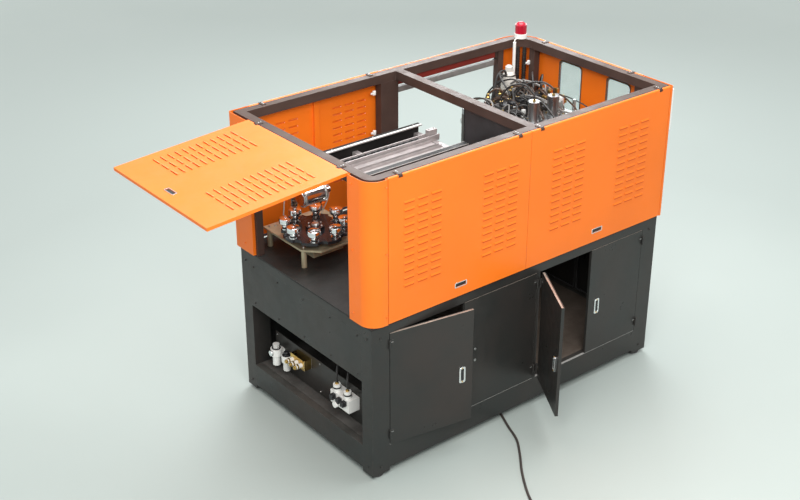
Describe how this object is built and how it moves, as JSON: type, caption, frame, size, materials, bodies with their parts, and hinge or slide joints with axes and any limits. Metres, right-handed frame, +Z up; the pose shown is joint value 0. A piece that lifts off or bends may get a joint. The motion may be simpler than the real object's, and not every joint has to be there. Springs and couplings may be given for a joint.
{
  "type": "blow moulding machine",
  "caption": "Stretch blow moulding machine for bottles: charcoal base cabinet with doors, open-topped orange louvred enclosure with top-hinged flaps, preform wheel, oven and clamp.",
  "frame": {"origin": "centre of the base cabinet on the floor", "axes": "+X along the machine towards the clamp end, -Y the front with the two latched flaps, +Z up"},
  "size_m": [3.3945, 2.719, 2.116],
  "materials": {
    "charcoal_paint": "satin",
    "orange_paint": "satin",
    "frame_paint": "satin",
    "black_rubber": "matt",
    "deck_steel": "worn",
    "pan_paint": "dusty",
    "bright_steel": "machined",
    "chrome": "polished",
    "plate_yellow": "anodised",
    "aluminium": "milled",
    "dark_steel": "satin",
    "black_plastic": "matt",
    "white_plastic": "matt",
    "red_lens": "clear gloss",
    "red_plastic": "gloss",
    "green_plastic": "gloss",
    "window_sheet": "clear",
    "cable_jacket": "matt"
  },
  "bodies": {
    "machine": {"base_frame": "charcoal_paint", "levelling_feet": "black_rubber", "floor_pan": "pan_paint", "deck_plate": "deck_steel", "left_end_panel": "charcoal_paint", "rear_base_panels": "charcoal_paint", "door_hinges": "charcoal_paint", "air_preparation_unit": "white_plastic", "base_valve_block": "aluminium", "upper_frame": "frame_paint", "corner_front_left": "orange_paint", "corner_rear_left": "orange_paint", "corner_front_right": "orange_paint", "corner_rear_right": "orange_paint", "flap_hinge_lugs": "frame_paint", "beacon_base": "white_plastic", "beacon_dome": "red_lens", "cable_conduit": "white_plastic", "document_holder": "white_plastic", "partition_panel": "dark_steel", "transfer_table": "plate_yellow", "transfer_cylinder": "chrome", "oven_frame": "aluminium", "lamp_bank": "bright_steel", "clamp_frame": "bright_steel", "stretch_frame": "bright_steel", "valve_manifold": "aluminium", "hoses": "cable_jacket", "power_cable": "cable_jacket", "cable_coil": "cable_jacket", "cable_plug": "red_plastic", "cable_gland": "black_plastic"},
    "left_flap": {"left_flap": "orange_paint"},
    "front_flap_left": {"front_flap_left": "orange_paint"},
    "front_flap_right": {"front_flap_right": "orange_paint"},
    "rear_flap": {"rear_flap": "orange_paint"},
    "latch_left": {"latch_left": "black_plastic"},
    "latch_front_left": {"latch_front_left": "black_plastic"},
    "latch_front_right": {"latch_front_right": "black_plastic"},
    "latch_rear": {"latch_rear": "black_plastic"},
    "latch_right": {"latch_right": "black_plastic"},
    "front_door_1": {"front_door_1": "charcoal_paint"},
    "front_door_2": {"front_door_2": "charcoal_paint"},
    "front_door_3": {"front_door_3": "charcoal_paint"},
    "front_door_4": {"front_door_4": "charcoal_paint"},
    "end_door_front": {"end_door_front": "charcoal_paint"},
    "end_door_rear": {"end_door_rear": "charcoal_paint"},
    "lock_lever_1": {"lock_lever_1": "chrome"},
    "lock_lever_3": {"lock_lever_3": "chrome"},
    "lock_lever_4": {"lock_lever_4": "chrome"},
    "lock_lever_end": {"lock_lever_end": "chrome"},
    "emergency_stop": {"emergency_stop": "red_plastic"},
    "start_button": {"start_button": "green_plastic"},
    "platen_rear": {"platen_rear": "aluminium"},
    "platen_front": {"platen_front": "aluminium"},
    "stretch_carriage": {"stretch_carriage": "bright_steel"},
    "right_flap": {"right_flap": "orange_paint", "right_flap_windows": "window_sheet"},
    "chuck_wheel": {"chuck_wheel": "dark_steel", "chucks": "chrome"}
  },
  "joints": [
    {"name": "left_flap_hinge", "type": "hinge", "parent": "machine", "child": "left_flap", "pos_m": [-1.23, 0, 1.99], "axis": [0, 1, 0], "range_deg": [-86, 2]},
    {"name": "front_flap_left_hinge", "type": "hinge", "parent": "machine", "child": "front_flap_left", "pos_m": [-0.564, -0.7, 1.99], "axis": [-1, 0, 0], "range_deg": [0, 88]},
    {"name": "front_flap_right_hinge", "type": "hinge", "parent": "machine", "child": "front_flap_right", "pos_m": [0.596, -0.7, 1.99], "axis": [-1, 0, 0], "range_deg": [0, 88]},
    {"name": "rear_flap_hinge", "type": "hinge", "parent": "machine", "child": "rear_flap", "pos_m": [-0.59, 0.7, 1.99], "axis": [1, 0, 0], "range_deg": [0, 88]},
    {"name": "right_flap_hinge", "type": "hinge", "parent": "machine", "child": "right_flap", "pos_m": [1.23, 0.033, 1.99], "axis": [0, -1, 0], "range_deg": [0, 88]},
    {"name": "latch_left_paddle", "type": "hinge", "parent": "left_flap", "child": "latch_left", "pos_m": [-2.05252, 0, 1.94], "axis": [0, 1, 0], "range_deg": [0, 30]},
    {"name": "latch_front_left_paddle", "type": "hinge", "parent": "front_flap_left", "child": "latch_front_left", "pos_m": [-0.559, -0.7075, 1.166], "axis": [-1, 0, 0], "range_deg": [0, 30]},
    {"name": "latch_front_right_paddle", "type": "hinge", "parent": "front_flap_right", "child": "latch_front_right", "pos_m": [0.606, -0.7075, 1.166], "axis": [-1, 0, 0], "range_deg": [0, 30]},
    {"name": "latch_rear_paddle", "type": "hinge", "parent": "rear_flap", "child": "latch_rear", "pos_m": [-0.59, 0.7075, 1.166], "axis": [1, 0, 0], "range_deg": [0, 30]},
    {"name": "latch_right_paddle", "type": "hinge", "parent": "right_flap", "child": "latch_right", "pos_m": [1.2375, 0.033, 1.166], "axis": [0, -1, 0], "range_deg": [0, 30]},
    {"name": "front_door_1_hinge", "type": "hinge", "parent": "machine", "child": "front_door_1", "pos_m": [-1.088, -0.698, 0.6], "axis": [0, 0, -1], "range_deg": [-9.5, 100]},
    {"name": "front_door_2_hinge", "type": "hinge", "parent": "machine", "child": "front_door_2", "pos_m": [0.107, -0.698, 0.6], "axis": [0, 0, 1], "range_deg": [0, 50]},
    {"name": "front_door_3_hinge", "type": "hinge", "parent": "machine", "child": "front_door_3", "pos_m": [0.133, -0.698, 0.6], "axis": [0, 0, -1], "range_deg": [-120, 0]},
    {"name": "front_door_4_hinge", "type": "hinge", "parent": "machine", "child": "front_door_4", "pos_m": [1.088, -0.698, 0.6], "axis": [0, 0, 1], "range_deg": [0, 110]},
    {"name": "end_door_front_hinge", "type": "hinge", "parent": "machine", "child": "end_door_front", "pos_m": [1.228, -0.59, 0.6], "axis": [0, 0, -1], "range_deg": [0, 110]},
    {"name": "end_door_rear_hinge", "type": "hinge", "parent": "machine", "child": "end_door_rear", "pos_m": [1.228, 0.59, 0.6], "axis": [0, 0, 1], "range_deg": [0, 110]},
    {"name": "lock_1_lever", "type": "hinge", "parent": "front_door_1", "child": "lock_lever_1", "pos_m": [-0.58786, -0.77206, 0.592], "axis": [-0.9863, 0.165, 0], "range_deg": [0, 40]},
    {"name": "lock_3_lever", "type": "hinge", "parent": "front_door_3", "child": "lock_lever_3", "pos_m": [-0.05352, -1.04007, 0.592], "axis": [0.5, 0.866, 0], "range_deg": [0, 40]},
    {"name": "lock_4_lever", "type": "hinge", "parent": "front_door_4", "child": "lock_lever_4", "pos_m": [0.6775, -0.6885, 0.592], "axis": [-1, 0, 0], "range_deg": [0, 40]},
    {"name": "lock_end_lever", "type": "hinge", "parent": "end_door_rear", "child": "lock_lever_end", "pos_m": [1.2185, 0.0775, 0.592], "axis": [0, -1, 0], "range_deg": [0, 40]},
    {"name": "emergency_stop_press", "type": "slide", "parent": "machine", "child": "emergency_stop", "axis": [0, -1, 0], "range_m": [0, 0.004], "stiffness_N_per_m": 1500, "springref_m": -0.002},
    {"name": "start_button_press", "type": "slide", "parent": "machine", "child": "start_button", "axis": [0, -1, 0], "range_m": [0, 0.004], "stiffness_N_per_m": 800, "springref_m": -0.002},
    {"name": "chuck_wheel_turn", "type": "hinge", "parent": "machine", "child": "chuck_wheel", "pos_m": [-0.93, 0.26, 1.25], "axis": [0, 0, 1], "continuous": true},
    {"name": "platen_rear_slide", "type": "slide", "parent": "machine", "child": "platen_rear", "axis": [0, -1, 0], "range_m": [0, 0.06985]},
    {"name": "platen_front_slide", "type": "slide", "parent": "machine", "child": "platen_front", "axis": [0, 1, 0], "range_m": [0, 0.06985]},
    {"name": "nozzle_carriage_slide", "type": "slide", "parent": "machine", "child": "stretch_carriage", "axis": [0, 0, -1], "range_m": [0, 0.028]}
  ],
  "couplings": [
    {"joint": "platen_front_slide", "follows": "platen_rear_slide", "ratio": 1}
  ]
}
